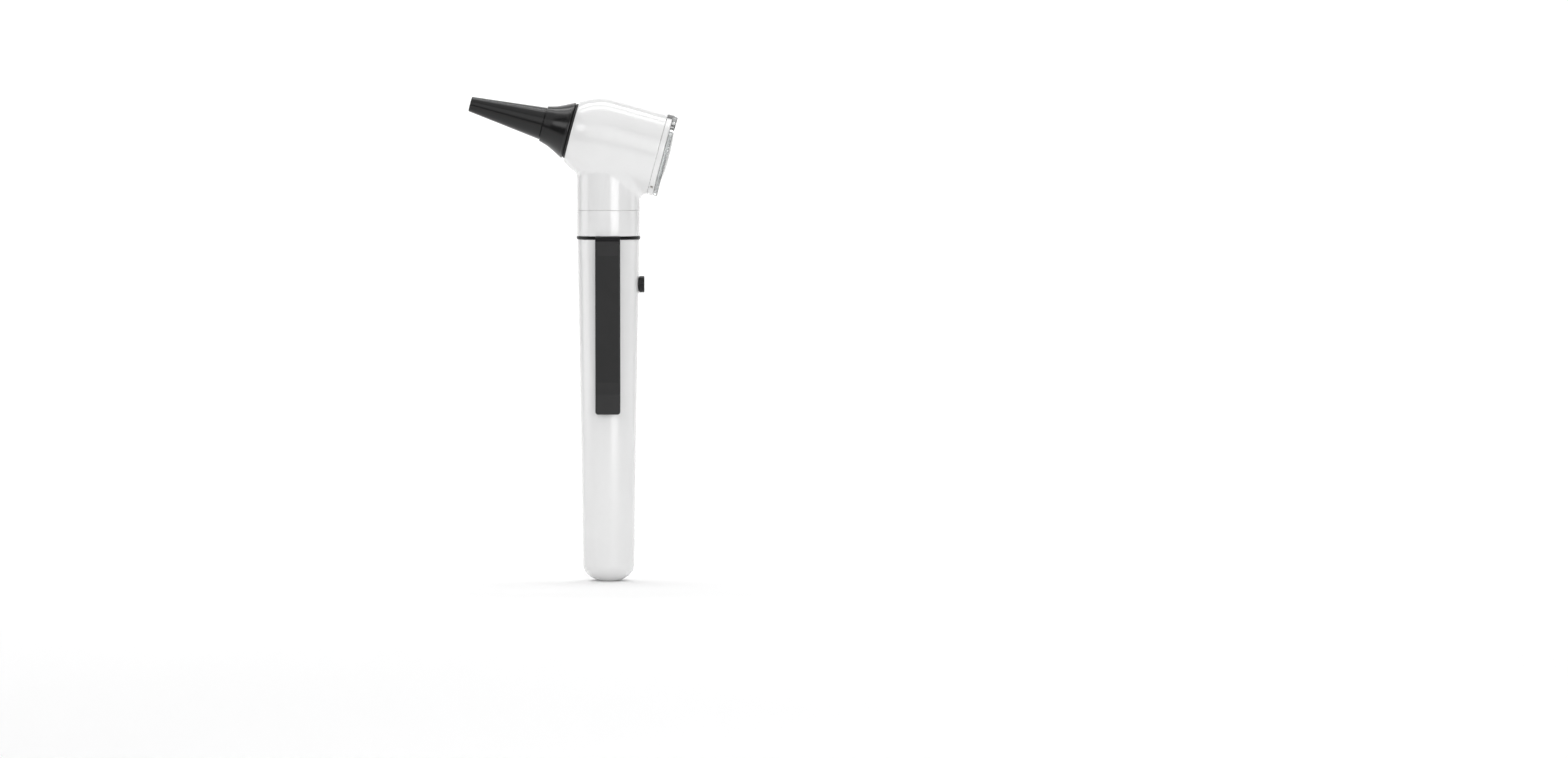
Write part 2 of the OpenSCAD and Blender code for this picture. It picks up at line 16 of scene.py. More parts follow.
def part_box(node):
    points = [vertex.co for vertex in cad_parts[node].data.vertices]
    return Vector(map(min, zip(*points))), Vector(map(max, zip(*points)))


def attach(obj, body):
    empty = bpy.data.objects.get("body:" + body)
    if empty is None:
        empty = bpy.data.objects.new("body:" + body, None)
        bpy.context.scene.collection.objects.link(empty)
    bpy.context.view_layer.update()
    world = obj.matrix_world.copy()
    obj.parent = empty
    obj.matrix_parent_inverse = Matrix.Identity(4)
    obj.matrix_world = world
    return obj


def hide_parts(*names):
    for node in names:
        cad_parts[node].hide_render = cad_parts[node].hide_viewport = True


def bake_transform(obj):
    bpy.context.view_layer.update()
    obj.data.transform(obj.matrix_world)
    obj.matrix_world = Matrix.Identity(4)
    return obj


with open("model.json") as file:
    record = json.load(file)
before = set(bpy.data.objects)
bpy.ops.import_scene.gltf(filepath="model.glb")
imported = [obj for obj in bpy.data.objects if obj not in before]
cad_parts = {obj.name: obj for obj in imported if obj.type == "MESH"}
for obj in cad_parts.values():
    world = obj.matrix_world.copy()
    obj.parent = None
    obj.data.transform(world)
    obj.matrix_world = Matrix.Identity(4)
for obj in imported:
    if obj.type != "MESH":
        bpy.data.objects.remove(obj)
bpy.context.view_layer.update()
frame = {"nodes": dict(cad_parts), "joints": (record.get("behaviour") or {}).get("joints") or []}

MM = 0.001
JOINTS = {joint["name"]: joint for joint in frame["joints"]}


# ---------------------------------------------------------------- places taken from the frame

def corners(node):
    """The lowest and highest corner of a CAD node, in millimetres."""
    low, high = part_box(node)
    return low / MM, high / MM


def middle(node):
    low, high = corners(node)
    return (low + high) / 2


REARWARDS = Vector(JOINTS["lens_swivel"]["axis"]).normalized()
HEAD_UP = Vector((-REARWARDS.z, 0, REARWARDS.x))
SEAL = middle("mount_seal")
HEAD_CENTRE = SEAL - REARWARDS * (SEAL.x / REARWARDS.x)
HEAD = Matrix.Translation(HEAD_CENTRE) @ Matrix(
    (HEAD_UP, REARWARDS.cross(HEAD_UP), REARWARDS)).transposed().to_4x4()
UPRIGHT = Matrix.Identity(4)
# Local Z runs along the row's X, and local X along the row's Z
SIDEWAYS = Matrix(((0, 0, 1, 0), (0, -1, 0, 0), (1, 0, 0, 0), (0, 0, 0, 1)))


def along_head(node):
    """Where a CAD node starts and ends along the head's axis, in millimetres."""
    places = [(v.co / MM - HEAD_CENTRE).dot(REARWARDS) for v in frame["nodes"][node].data.vertices]
    return min(places), max(places)


HANDLE_TOP = corners("handle_tube")[1].z
HANDLE_TOP_R = corners("handle_tube")[1].x
HANDLE_LOW_R = 8.95
DOME_H = 5.8
END_FLAT_R = 3.5
THREAD_LOW = corners("thread_ring")[0].z
THREAD_RING_R = corners("thread_ring")[1].x
CELL_BORE_R = corners("battery_lower")[1].x + 0.45
CELL_FLOOR = corners("spring_plate")[0].z
COLLAR_LOW = corners("neck_collar")[0].z
SEAM = corners("head_shell")[0].z
NECK_R = corners("neck_collar")[1].x
BARREL_R = -corners("head_shell")[0].y
BARREL_REAR_R = corners("rear_bezel")[1].y
WALL = 1.5
FRONT = along_head("head_shell")[0]
CREST = -1.5
BEZEL_FRONT, BEZEL_REAR = along_head("rear_bezel")
HINGE_FLAT = min((v.co / MM - HEAD_CENTRE).dot(HEAD_UP)
                 for v in frame["nodes"]["hinge_block"].data.vertices)
REAR = BEZEL_FRONT - 0.05
NOSE_ARC_R = 20.0
PLATE_REAR = along_head("lens_plate")[1]
PLATE_FRONT = PLATE_REAR - 1.5
PIVOT_UP = (Vector(JOINTS["lens_swivel"]["pos_m"]) / MM - HEAD_CENTRE).dot(HEAD_UP)
PORT_A = (middle("insufflation_port") - HEAD_CENTRE).dot(REARWARDS)


# ---------------------------------------------------------------- outlines

def soften(points, closed=False, steps=5):
    """Rounds the corners of an outline. A point is (x, y) or (x, y, radius)."""
    result = []
    count = len(points)
    for i, point in enumerate(points):
        here = Vector(point[:2])
        inner = closed or 0 < i < count - 1
        if len(point) < 3 or not inner:
            result.append(tuple(here))
            continue
        before = Vector(points[i - 1][:2]) - here
        after = Vector(points[(i + 1) % count][:2]) - here
        half = before.angle(after) / 2
        back = min(point[2] / math.tan(half), before.length * 0.49, after.length * 0.49)
        start = here + before.normalized() * back
        end = here + after.normalized() * back
        for k in range(steps + 1):
            t = k / steps
            result.append(tuple(start * (1 - t) ** 2 + here * 2 * t * (1 - t) + end * t ** 2))
    return result


def spline(points, steps=8):
    """A smooth curve through every point."""
    padded = [2 * Vector(points[0]) - Vector(points[1]), *map(Vector, points),
              2 * Vector(points[-1]) - Vector(points[-2])]
    result = []
    for p0, p1, p2, p3 in zip(padded, padded[1:], padded[2:], padded[3:]):
        for k in range(steps):
            t = k / steps
            result.append(tuple(0.5 * (2 * p1 + (p2 - p0) * t + (2 * p0 - 5 * p1 + 4 * p2 - p3) * t ** 2
                                       + (3 * p1 - p0 - 3 * p2 + p3) * t ** 3)))
    return result + [tuple(points[-1])]


def barrel_outline(inset, front, rear, steps=24):
    """The barrel's outline from front to rear: an arc that meets the crest, then a slight taper."""
    arc_r = NOSE_ARC_R - inset
    points = []
    for k in range(steps + 1):
        a = front + (CREST - front) * k / steps
        points.append((BARREL_R - NOSE_ARC_R + math.sqrt(arc_r ** 2 - (a - CREST) ** 2), a))
    return points + [(BARREL_REAR_R - inset, rear)]


# ---------------------------------------------------------------- meshes

def new_object(name, mesh):
    obj = bpy.data.objects.new(name, mesh)
    bpy.context.scene.collection.objects.link(obj)
    return obj


def object_from(name, bm):
    bmesh.ops.recalc_face_normals(bm, faces=bm.faces)
    mesh = bpy.data.meshes.new(name)
    bm.to_mesh(mesh)
    bm.free()
    return new_object(name, mesh)


def lathe(name, outline, where=UPRIGHT, segments=96, closed=False, reshape=None):
    """Turns an outline of (radius, height) points about the local Z. An open outline starts and
    ends on the axis. reshape(radius, height, angle) may move a point."""
    bm = bmesh.new()
    rings = []
    for radius, height in outline:
        ring = []
        for k in range(1 if radius < 1e-6 else segments):
            angle = 2 * math.pi * k / segments
            r, h = reshape(radius, height, angle) if reshape else (radius, height)
            ring.append(bm.verts.new(where @ Vector((r * math.cos(angle), r * math.sin(angle), h))))
        rings.append(ring)
    pairs = list(zip(rings, rings[1:])) + ([(rings[-1], rings[0])] if closed else [])
    for low, high in pairs:
        for k in range(segments):
            n = (k + 1) % segments
            if len(low) == 1 and len(high) == 1:
                break
            if len(low) == 1:
                bm.faces.new((low[0], high[n], high[k]))
            elif len(high) == 1:
                bm.faces.new((low[k], low[n], high[0]))
            else:
                bm.faces.new((low[k], low[n], high[n], high[k]))
    return object_from(name, bm)


def prism(name, points, low, high, where=UPRIGHT):
    """A flat outline pushed out along the local Z from low to high."""
    bm = bmesh.new()
    bottom = [bm.verts.new(where @ Vector((x, y, low))) for x, y in points]
    top = [bm.verts.new(where @ Vector((x, y, high))) for x, y in points]
    bm.faces.new(bottom)
    bm.faces.new(top)
    for k in range(len(points)):
        n = (k + 1) % len(points)
        bm.faces.new((bottom[k], bottom[n], top[n], top[k]))
    return object_from(name, bm)


def rod(name, radius, low, high, where=UPRIGHT, segments=48):
    return lathe(name, [(0, low), (radius, low), (radius, high), (0, high)], where, segments)


def slab(name, low, high, where=UPRIGHT):
    x0, y0, z0 = low
    x1, y1, z1 = high
    return prism(name, [(x0, y0), (x1, y0), (x1, y1), (x0, y1)], z0, z1, where)


def settle(obj):
    """Makes the result of an object's modifiers its mesh."""
    depsgraph = bpy.context.evaluated_depsgraph_get()
    mesh = bpy.data.meshes.new_from_object(obj.evaluated_get(depsgraph))
    obj.modifiers.clear()
    obj.data = mesh
    return obj


def combine(obj, operation, *others):
    """Boolean with each of the others, which are then deleted."""
    for other in others:
        modifier = obj.modifiers.new("combine", "BOOLEAN")
        modifier.operation = operation
        modifier.solver = "EXACT"
        modifier.object = other
        settle(obj)
        bpy.data.objects.remove(other)
    return obj


def cut(obj, *others):
    return combine(obj, "DIFFERENCE", *others)


def join(obj, *others):
    return combine(obj, "UNION", *others)


def bevel(obj, width, angle=35, segments=2):
    modifier = obj.modifiers.new("bevel", "BEVEL")
    modifier.width = width
    modifier.segments = segments
    modifier.limit_method = "ANGLE"
    modifier.angle_limit = math.radians(angle)
    modifier.harden_normals = False
    return settle(obj)


def finish_mesh(obj, sharp=35):
    """Scales a mesh to metres and smooths its shading up to the sharp angle."""
    obj.data.transform(Matrix.Scale(MM, 4))
    obj.data.shade_smooth()
    obj.data.set_sharp_from_angle(angle=math.radians(sharp))
    return obj


def place(obj, body, material, replaced, sharp=35):
    """Puts a piece on its body, gives it its finish and hides the CAD nodes that it stands for."""
    finish_mesh(obj, sharp)
    if not obj.data.materials:
        obj.data.materials.append(material)
    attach(obj, body)
    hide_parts(*replaced)
    return obj


# ---------------------------------------------------------------- materials

class Nodes:
    """Short names for building one node material."""

    def __init__(self, name):
        self.material = bpy.data.materials.new(name)
        self.material.use_nodes = True
        self.tree = self.material.node_tree
        self.shader = self.tree.nodes["Principled BSDF"]
        self.coordinates = self.tree.nodes.new("ShaderNodeTexCoord").outputs["Object"]

    def link(self, output, target):
        self.tree.links.new(output, target)

    def set(self, **values):
        for name, value in values.items():
            self.shader.inputs[name.replace("_", " ")].default_value = value

    def noise(self, size_mm, detail=3.0, stretch=(1, 1, 1)):
        """Noise whose features are about size_mm across."""
        mapping = self.tree.nodes.new("ShaderNodeMapping")
        mapping.inputs["Scale"].default_value = stretch
        self.link(self.coordinates, mapping.inputs["Vector"])
        noise = self.tree.nodes.new("ShaderNodeTexNoise")
        noise.inputs["Scale"].default_value = 1 / (size_mm * MM)
        noise.inputs["Detail"].default_value = detail
        self.link(mapping.outputs["Vector"], noise.inputs["Vector"])
        return noise.outputs["Fac"]

    def spread(self, value, low, high):
        """Maps the middle of a noise onto low to high."""
        mapping = self.tree.nodes.new("ShaderNodeMapRange")
        mapping.inputs["From Min"].default_value = 0.3
        mapping.inputs["From Max"].default_value = 0.7
        mapping.inputs["To Min"].default_value = low
        mapping.inputs["To Max"].default_value = high
        self.link(value, mapping.inputs["Value"])
        return mapping.outputs["Result"]

    def blend(self, value, low_colour, high_colour):
        mix = self.tree.nodes.new("ShaderNodeMix")
        mix.data_type = "RGBA"
        mix.inputs["A"].default_value = (*low_colour, 1)
        mix.inputs["B"].default_value = (*high_colour, 1)
        self.link(value, mix.inputs["Factor"])
        return mix.outputs["Result"]

    def bump(self, height, depth_mm, strength=1.0):
        bump = self.tree.nodes.new("ShaderNodeBump")
        bump.inputs["Distance"].default_value = depth_mm * MM
        bump.inputs["Strength"].default_value = strength
        if self.shader.inputs["Normal"].links:
            self.link(self.shader.inputs["Normal"].links[0].from_socket, bump.inputs["Normal"])
        self.link(height, bump.inputs["Height"])
        self.link(bump.outputs["Normal"], self.shader.inputs["Normal"])


def plastic(name, colour, vary, roughness, grain_mm, grain_depth_mm, coat=0.0, ripple_mm=6.0,
            shine=0.5):
    """Moulded plastic: slight tone changes, uneven gloss, a slow ripple and a fine grain."""
    n = Nodes(name)
    dark = [c * (1 - vary) for c in colour]
    light = [min(1, c * (1 + vary)) for c in colour]
    n.link(n.blend(n.spread(n.noise(9), 0, 1), dark, light), n.shader.inputs["Base Color"])
    n.link(n.spread(n.noise(4, 2), roughness * 0.9, roughness * 1.12), n.shader.inputs["Roughness"])
    n.bump(n.noise(ripple_mm, 1), 0.012, 0.3)
    n.bump(n.noise(grain_mm, 2), grain_depth_mm, 0.5)
    n.set(Coat_Weight=coat, Coat_Roughness=0.14, IOR=1.49, Specular_IOR_Level=shine)
    return n.material


def metal(name, colour, roughness, stretch=(1, 1, 14), scratch_mm=0.8):
    """Plated or turned metal with fine marks across the stretch and small stains."""
    n = Nodes(name)
    marks = n.noise(scratch_mm, 4, stretch)
    stains = n.spread(n.noise(4, 5), 0, 1)
    n.link(n.blend(stains, [c * 0.82 for c in colour], colour), n.shader.inputs["Base Color"])
    n.link(n.spread(marks, roughness * 0.7, roughness * 1.4), n.shader.inputs["Roughness"])
    n.bump(marks, 0.004, 0.5)
    n.set(Metallic=1.0)
    return n.material


def clear_material(name, colour, ior, roughness, absorbs_per_m=0):
    """Clear plastic or glass with a faint uneven polish, a little grey through its thickness."""
    n = Nodes(name)
    if absorbs_per_m:
        volume = n.tree.nodes.new("ShaderNodeVolumeAbsorption")
        volume.inputs["Density"].default_value = absorbs_per_m
        volume.inputs["Color"].default_value = (0.1, 0.1, 0.1, 1)
        n.link(volume.outputs["Volume"], n.tree.nodes["Material Output"].inputs["Volume"])
    n.link(n.spread(n.noise(3, 4), roughness * 0.5, roughness * 1.6), n.shader.inputs["Roughness"])
    n.bump(n.noise(5, 1), 0.004, 0.3)
    n.set(Base_Color=(*colour, 1), Transmission_Weight=1.0, IOR=ior)
    return n.material


def battery_material():
    """A cell's printed sleeve: a dark body, a metal-toned band at the button end, bare metal ends."""
    n = Nodes("battery_sleeve")
    split = n.tree.nodes.new("ShaderNodeSeparateXYZ")
    n.link(n.coordinates, split.inputs["Vector"])
    low = corners("battery_lower")[0].z * MM
    length = (corners("battery_lower")[1].z - corners("battery_lower")[0].z) * MM
    count = n.tree.nodes.new("ShaderNodeMapRange")
    count.clamp = False
    count.inputs["From Min"].default_value = low
    count.inputs["From Max"].default_value = low + length
    n.link(split.outputs["Z"], count.inputs["Value"])
    wrap = n.tree.nodes.new("ShaderNodeMath")
    wrap.operation = "FRACT"
    n.link(count.outputs["Result"], wrap.inputs[0])
    bands = n.tree.nodes.new("ShaderNodeValToRGB")
    bands.color_ramp.interpolation = "CONSTANT"
    stops = [(0.0, (0.55, 0.55, 0.56)), (0.012, (0.03, 0.034, 0.04)), (0.74, (0.5, 0.33, 0.12)),
             (0.962, (0.6, 0.6, 0.61))]
    ramp = bands.color_ramp.elements
    while len(ramp) < len(stops):
        ramp.new(0.5)
    for element, (position, colour) in zip(ramp, stops):
        element.position = position
        element.color = (*colour, 1)
    n.link(wrap.outputs["Value"], bands.inputs["Fac"])
    n.link(bands.outputs["Color"], n.shader.inputs["Base Color"])
    n.link(n.spread(n.noise(1.2, 4), 0.22, 0.4), n.shader.inputs["Roughness"])
    n.bump(n.noise(0.6, 3), 0.01, 0.4)
    n.set(Metallic=0.75)
    return n.material


WHITE = plastic("white_gloss_plastic", (0.765, 0.765, 0.765), 0.012, 0.235, 0.5, 0.001, coat=1.0,
                ripple_mm=14.0)
BLACK = plastic("black_satin_plastic", (0.006, 0.006, 0.0065), 0.2, 0.235, 0.2, 0.004, shine=0.3)
GREY = plastic("hinge_grey_plastic", (0.09, 0.09, 0.092), 0.15, 0.35, 0.2, 0.004)
INNER_BLACK = plastic("matt_black_plastic", (0.012, 0.012, 0.012), 0.2, 0.6, 0.2, 0.01)
SPECULUM = plastic("speculum_plastic", (0.003, 0.003, 0.0032), 0.25, 0.22, 0.25, 0.003,
                   ripple_mm=3.0, shine=0.45)
CLIP = plastic("coated_clip_steel", (0.018, 0.018, 0.0185), 0.1, 0.40, 0.12, 0.006, shine=0.3)
# Near-black for the ring; the tab below it gets the same colour as painted shade cast by the ring above.
CLIP_RING_BLACK_AND_TAB_SHADE = plastic("ring_steel_and_painted_tab_shade", (0.004, 0.004, 0.0045), 0.1, 0.32, 0.12, 0.004, shine=0.2)
CLIP_PRINT = plastic("clip_printed_panel", (0.014, 0.014, 0.0143), 0.06, 0.5, 0.15, 0.004, shine=0.3)
RUBBER = plastic("seal_rubber", (0.02, 0.02, 0.02), 0.15, 0.7, 0.15, 0.012)
NICKEL = metal("nickel_plate", (0.70, 0.68, 0.65), 0.24)
DARK_NICKEL = metal("dark_nickel_plate", (0.13, 0.13, 0.135), 0.26)
STEEL_WIRE = metal("spring_steel", (0.55, 0.55, 0.56), 0.3, (1, 1, 1), 0.4)
BRASS = metal("brass_strip", (0.75, 0.54, 0.24), 0.28)
ACRYLIC = clear_material("clear_acrylic", (0.93, 0.945, 0.945), 1.49, 0.03, 60)
GLASS = clear_material("magnifier_glass", (0.985, 0.99, 0.99), 1.52, 0.01)
FIBRE = clear_material("fibre_glass", (0.93, 0.93, 0.88), 1.55, 0.2)
BATTERY = battery_material()


# ---------------------------------------------------------------- handle

def handle():
    """The handle's tube with its rounded end, battery bore, switch slot and slider pocket."""
    flat_angle = math.acos(END_FLAT_R / HANDLE_LOW_R)
    depth = DOME_H / math.sin(flat_angle)
    steps = 24
    dome = []
    for k in range(1, steps + 1):
        angle = flat_angle * (1 - k / steps)
        dome.append((HANDLE_LOW_R * math.cos(angle), DOME_H - depth * math.sin(angle)))
    outline = soften([(0, 0), (END_FLAT_R, 0, 0.5), *dome, (HANDLE_TOP_R, HANDLE_TOP, 0.3),
                      (THREAD_RING_R + 0.05, HANDLE_TOP, 0.2), (THREAD_RING_R + 0.05, THREAD_LOW),
                      (CELL_BORE_R, THREAD_LOW), (CELL_BORE_R, CELL_FLOOR), (0, CELL_FLOOR)])
    tube = lathe("handle_body", outline, segments=128)
    slider_low = corners("switch_slider")[0]
    contact_low = corners("switch_contact")[0].z
    knob = middle("switch_knob")
    travel = JOINTS["switch_slide"]["range_m"][1] / MM
    half_w = 1.2
    end_steps = 10
    slot = []
    for centre, start in ((knob.z + travel + 0.3, -math.pi / 2), (knob.z - 0.3, math.pi / 2)):
        for k in range(end_steps + 1):
            angle = start + math.pi * k / end_steps
            slot.append((centre + half_w * math.cos(angle), half_w * math.sin(angle)))
    pocket_half_w = 3.2
    pocket_depth = slider_low.x + 1.07
    return cut(
        tube,
        prism("slot", slot, CELL_BORE_R, HANDLE_TOP_R + 1, SIDEWAYS),
        slab("pocket", (CELL_BORE_R - 1, -pocket_half_w, contact_low - 0.5),
             (pocket_depth, pocket_half_w, THREAD_LOW + 0.2)))


def switch_knob():
    """The round knob: a rounded edge, and ridges across the face that the thumb pushes."""
    low, high = corners("switch_knob")
    centre = middle("switch_knob")
    radius = (high.z - low.z) / 2
    under = handle_radius(centre.z + radius + 4) + 0.06
    place_knob = Matrix.Translation((0, 0, centre.z)) @ SIDEWAYS
    ridges = 3.0
    ridge_depth = 0.16
    flutes = 22
    flute_depth = 0.1

    def ridged(r, h, angle):
        up = r * math.cos(angle)
        share = min(1, max(0, (h - (high.x - 0.5)) / 0.3)) * min(1, max(0, (radius - r) / 0.5))
        wave = 0.5 - 0.5 * math.cos(2 * math.pi * ridges * (up / radius + 1) / 2)
        if r > radius - 0.02 and h < high.x - 0.3:
            r -= flute_depth * (0.5 - 0.5 * math.cos(flutes * angle)) ** 3
        return r, h - ridge_depth * (1 - wave) * share

    face_steps = 22
    face = [(radius * (1 - k / face_steps), high.x) for k in range(4, face_steps + 1)]
    outline = soften([(0, under - 0.9), (radius, under - 0.9), (radius, high.x, 0.4), *face], steps=6)
    knob = lathe("switch_button", outline, place_knob, 264, reshape=ridged)
    return cut(knob, rod("under", under, 0, HANDLE_TOP, segments=128))


def handle_radius(z):
    return HANDLE_LOW_R + (HANDLE_TOP_R - HANDLE_LOW_R) * (z - DOME_H) / (HANDLE_TOP - DOME_H)


def threaded(r_root, r_crest, pitch, low, high):
    """A reshape function that raises a screw thread between two heights."""
    def reshape(r, h, angle):
        if not low < h < high or abs(r - r_root) > 1e-3:
            return r, h
        turn = (h / pitch - angle / (2 * math.pi)) % 1
        ridge = max(0.0, min(1.0, 2.2 * (0.5 - abs(turn - 0.5)) * 2 - 0.5))
        fade = min(1, (h - low) / pitch, (high - h) / pitch)
        return r + (r_crest - r_root) * ridge * fade, h
    return reshape


# ---------------------------------------------------------------- pocket clip

def clip():
    """Ring, tab and leaf as the single sheet-steel piece that they are."""
    ring_high = corners("clip_ring")[1]
    leaf_low, leaf_high = corners("clip_leaf")
    thickness = 0.7
    width = leaf_high.x - leaf_low.x
    ring_r = ring_high.x
    ring_bore_r = 8.6
    ring_t = 1.0
    ring_top = ring_high.z
    ring = lathe("clip", soften([(ring_bore_r, ring_top - ring_t), (ring_r, ring_top - ring_t, 0.2),
                                 (ring_r, ring_top, 0.2), (ring_bore_r, ring_top)], closed=True, steps=3),
                 segments=128, closed=True)
    tab_y = leaf_low.y + 0.7
    stand_y = leaf_low.y + thickness / 2
    bend_z = leaf_low.z + 6.8
    tip_y = -handle_radius(leaf_low.z) - 2.6 + thickness / 2
    bend_y = -handle_radius(bend_z) - 0.2 - thickness / 2
    path = soften([(-9.4, ring_top - ring_t / 2), (tab_y, ring_top - ring_t / 2, 0.45),
                   (tab_y, leaf_high.z + 0.75, 0.2), (stand_y, leaf_high.z - 0.25, 0.3),
                   (bend_y, bend_z, 3.0), (tip_y, leaf_low.z)], steps=6)
    path = fill_in(path, 2.0)
    leaf = leaf_strip(path, width, thickness, 1.0, leaf_low.z)
    panel = (bend_z + 4, leaf_high.z - 4)
    bevel(leaf, 0.12, 50)
    clip_piece = join(leaf, ring)
    clip_piece.name = "clip_spring"
    # The ring and tab share the near-black coat, which on the tab is painted shade under the ring.
    for material in (CLIP, CLIP_PRINT, CLIP_RING_BLACK_AND_TAB_SHADE):
        clip_piece.data.materials.append(material)
    for polygon in clip_piece.data.polygons:
        polygon.material_index = clip_zone(polygon, panel, width, leaf_high.z + 0.6)
    return clip_piece, (leaf_high.z + 0.6, leaf_high.z - 0.8)


def clip_zone(polygon, panel, width, tab_low):
    """0 for the leaf, 1 for its printed panel and 2 for the ring and its tab, which take a near-black
    coat; on the tab that coat is painted shade under the ring.
    """
    centre = polygon.center
    if centre.z > tab_low:
        return 2
    in_panel = panel[0] < centre.z < panel[1] and abs(centre.x) < width / 2 - 0.7
    return 1 if in_panel and polygon.normal.y < -0.9 else 0


def fill_in(path, spacing):
    """Adds points so that no two are further apart than spacing."""
    result = [path[0]]
    for start, end in zip(path, path[1:]):
        count = max(1, math.ceil((Vector(end) - Vector(start)).length / spacing))
        for k in range(1, count + 1):
            result.append(tuple(Vector(start).lerp(Vector(end), k / count)))
    return result


def leaf_strip(path, width, thickness, corner_r, tip_z):
    """A strip of sheet along a path of (y, z) points, with rounded corners at its tip."""
    stations = [Vector(p) for p in path]
    last = stations.pop()
    before = stations[-1]
    for k in range(1, 9):
        stations.append(before.lerp(last, 1 - (1 - k / 8) ** 2))
    bm = bmesh.new()
    rows = []
    for i, p in enumerate(stations):
        ahead = stations[min(i + 1, len(stations) - 1)] - stations[max(i - 1, 0)]
        normal = Vector((-ahead.y, ahead.x)).normalized() * thickness / 2
        from_tip = min(corner_r, max(0.0, p.y - tip_z))
        inset = corner_r - math.sqrt(max(0, corner_r ** 2 - (corner_r - from_tip) ** 2))
        half = width / 2 - inset
        inner_half = min(half - 0.25, width / 2 - 0.7)
        row = []
        for side, xs in ((1, (-half, -inner_half, inner_half, half)),
                         (-1, (half, inner_half, -inner_half, -half))):
            for x in xs:
                row.append(bm.verts.new((x, p.x + side * normal.x, p.y + side * normal.y)))
        rows.append(row)
    for low, high in zip(rows, rows[1:]):
        for k in range(8):
            n = (k + 1) % 8
            bm.faces.new((low[k], low[n], high[n], high[k]))
    for row in (rows[0], rows[-1]):
        bm.faces.new((row[0], row[1], row[6], row[7]))
        bm.faces.new((row[1], row[2], row[5], row[6]))
        bm.faces.new((row[2], row[3], row[4], row[5]))
    return object_from("leaf", bm)


# ---------------------------------------------------------------- head shell

def outline_distance(points, r, a):
    """Signed distance in the (r, a) half plane to an outline from axis to axis; inside is negative."""
    distance = np.full(r.shape, 1e9)
    inside = np.zeros(r.shape, bool)
    for (r0, a0), (r1, a1) in zip(points, points[1:]):
        er, ea = r1 - r0, a1 - a0
        t = np.clip(((r - r0) * er + (a - a0) * ea) / (er * er + ea * ea), 0, 1)
        distance = np.minimum(distance, np.hypot(r - r0 - t * er, a - a0 - t * ea))
        if ea:
            crosses = ((a0 > a) != (a1 > a)) & (r < er * (a - a0) / ea + r0)
            inside ^= crosses
    return np.where(inside, -distance, distance)


def rounded_union(first, second, fillet):
    """Joins two distance fields with a fillet in the corner between them."""
    u = np.maximum(fillet - first, 0)
    v = np.maximum(fillet - second, 0)
    return np.maximum(fillet, np.minimum(first, second)) - np.hypot(u, v)


class HeadForm:
    """The outside of the head shell: barrel, neck and port boss, with fillets between them."""

    neck_fillet = 0.9
    rear_fillet = 2.7
    boss_fillet = 0.7
    boss_r = 3.1
    boss_reach = 15.2

    def __init__(self):
        edge = 0.5
        front_r = barrel_outline(0, FRONT, REAR)[0][0]
        arc = [p for p in barrel_outline(0, FRONT + edge, REAR)]
        self.outline = soften([(0, FRONT), (front_r - 0.05, FRONT, edge), *arc[:-1],
                               (*arc[-1][:1], REAR, 0.07), (0, REAR)])
        self.into_head = np.array(HEAD.inverted())

    def distance(self, p):
        q = p @ self.into_head[:3, :3].T + self.into_head[:3, 3]
        barrel = outline_distance(self.outline, np.hypot(q[:, 0], q[:, 1]), q[:, 2])
        across = np.hypot(p[:, 0], p[:, 1]) - NECK_R
        end = np.maximum(SEAM - p[:, 2], p[:, 2] - HEAD_CENTRE.z)
        neck = np.maximum(across, end)
        boss = np.maximum(np.hypot(q[:, 0], q[:, 2] - PORT_A) - self.boss_r,
                          np.maximum(p[:, 1] - self.boss_reach, -p[:, 1]))
        towards_rear = np.clip((p[:, 0] + 1) / 9, 0, 1)
        fillet = self.neck_fillet + (self.rear_fillet - self.neck_fillet) * towards_rear
        head = rounded_union(barrel, neck, fillet)
        return rounded_union(head, boss, self.boss_fillet)

    def project(self, p, rounds=5, step=1e-3, longest=0.5):
        """Moves points onto the surface."""
        for _ in range(rounds):
            value = self.distance(p)
            slope = np.stack([(self.distance(p + step * axis) - self.distance(p - step * axis))
                              / (2 * step) for axis in np.eye(3)], 1)
            size = np.maximum((slope ** 2).sum(1), 0.05)
            move = -slope * (value / size)[:, None]
            length = np.maximum(np.linalg.norm(move, axis=1), 1e-12)
            p = p + move * np.minimum(1, longest / length)[:, None]
        return p


def even_out(mesh, form, rounds=3):
    """Spreads a mesh's points evenly over the form."""
    count = len(mesh.vertices)
    p = np.zeros(count * 3)
    mesh.vertices.foreach_get("co", p)
    p = form.project(p.reshape(-1, 3))
    edges = np.zeros(len(mesh.edges) * 2, int)
    mesh.edges.foreach_get("vertices", edges)
    edges = edges.reshape(-1, 2)
    ends = np.concatenate([edges, edges[:, ::-1]])
    neighbours = np.bincount(ends[:, 0], minlength=count)
    for _ in range(rounds):
        total = np.stack([np.bincount(ends[:, 0], p[ends[:, 1], k], count) for k in range(3)], 1)
        p = form.project(0.5 * p + 0.5 * total / neighbours[:, None], 2)
    mesh.vertices.foreach_set("co", p.ravel())


